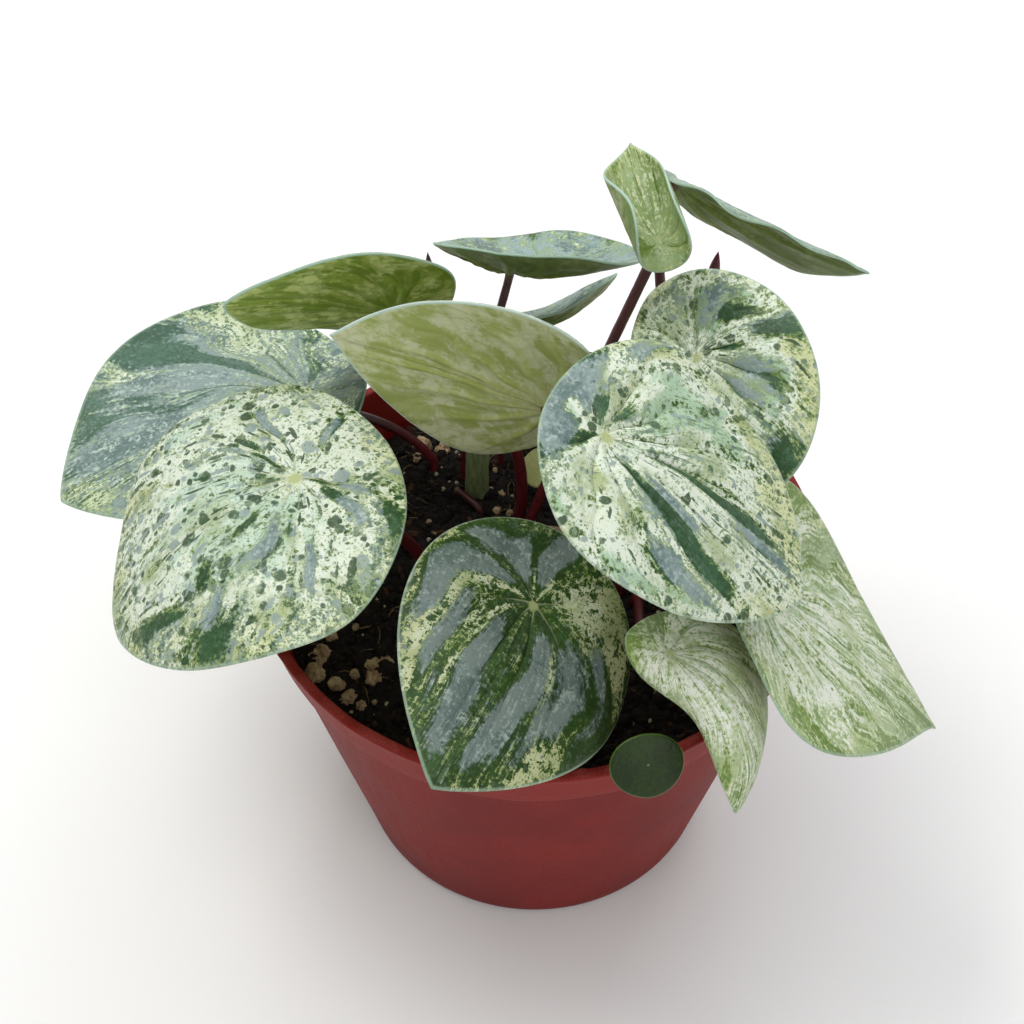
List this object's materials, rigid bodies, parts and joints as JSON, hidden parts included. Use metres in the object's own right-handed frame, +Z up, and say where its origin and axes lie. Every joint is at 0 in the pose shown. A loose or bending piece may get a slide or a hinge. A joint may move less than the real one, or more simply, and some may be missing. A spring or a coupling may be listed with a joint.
{
  "type": "potted foliage plant",
  "caption": "Variegated shield-leaved houseplant on slender red stalks, rooted in soil in a round tapered plastic nursery pot.",
  "frame": {"origin": "centre of the underside of the pot's base, on the surface that it stands on", "axes": "+Z up along the pot's axis; the side seen in the picture faces -Y, and the viewer's right is +X"},
  "size_m": [0.2035, 0.1596, 0.1754],
  "materials": {
    "pot_plastic": "satin brick red, thin moulded",
    "soil_mix": "dark damp peat and bark mix with pale mineral crumbs",
    "leaf_upper": "smooth waxy leaf, marbled green, silver and cream",
    "leaf_under": "matte olive underside with paler blotches",
    "stalk_red": "smooth deep crimson stalk",
    "stem_green": "fleshy green stem with a paler cut",
    "bud_dark": "dark unopened leaf"
  },
  "bodies": {
    "root": {"pot": "pot_plastic", "soil": "soil_mix", "crown": "stem_green", "stem_stump": "stem_green", "stem_stub": "stalk_red", "blade_rear_left": "leaf_upper", "stalk_rear_left": "stalk_red", "blade_front_left": "leaf_upper", "stalk_front_left": "stalk_red", "blade_centre": "leaf_under", "stalk_centre": "stalk_red", "blade_upper_left": "leaf_under", "stalk_upper_left": "stalk_red", "blade_centre_right": "leaf_upper", "stalk_centre_right": "stalk_red", "blade_rear_right": "leaf_upper", "stalk_rear_right": "stalk_red", "blade_lower_right": "leaf_upper", "stalk_lower_right": "stalk_red", "blade_lower_small": "leaf_upper", "stalk_lower_small": "stalk_red", "blade_front": "leaf_upper", "stalk_front": "stalk_red", "blade_back": "leaf_upper", "stalk_back": "stalk_red", "blade_upright": "leaf_upper", "stalk_upright": "stalk_red", "blade_upper_right": "leaf_upper", "stalk_upper_right": "stalk_red", "blade_behind_centre": "leaf_under", "stalk_behind_centre": "stalk_red", "blade_rim_seedling": "leaf_upper", "stalk_rim_seedling": "stalk_red", "blade_young": "leaf_upper", "stalk_young": "stalk_red", "bud_left": "bud_dark", "stalk_bud_left": "stalk_red", "bud_right": "bud_dark", "stalk_bud_right": "stalk_red"}
  },
  "joints": []
}
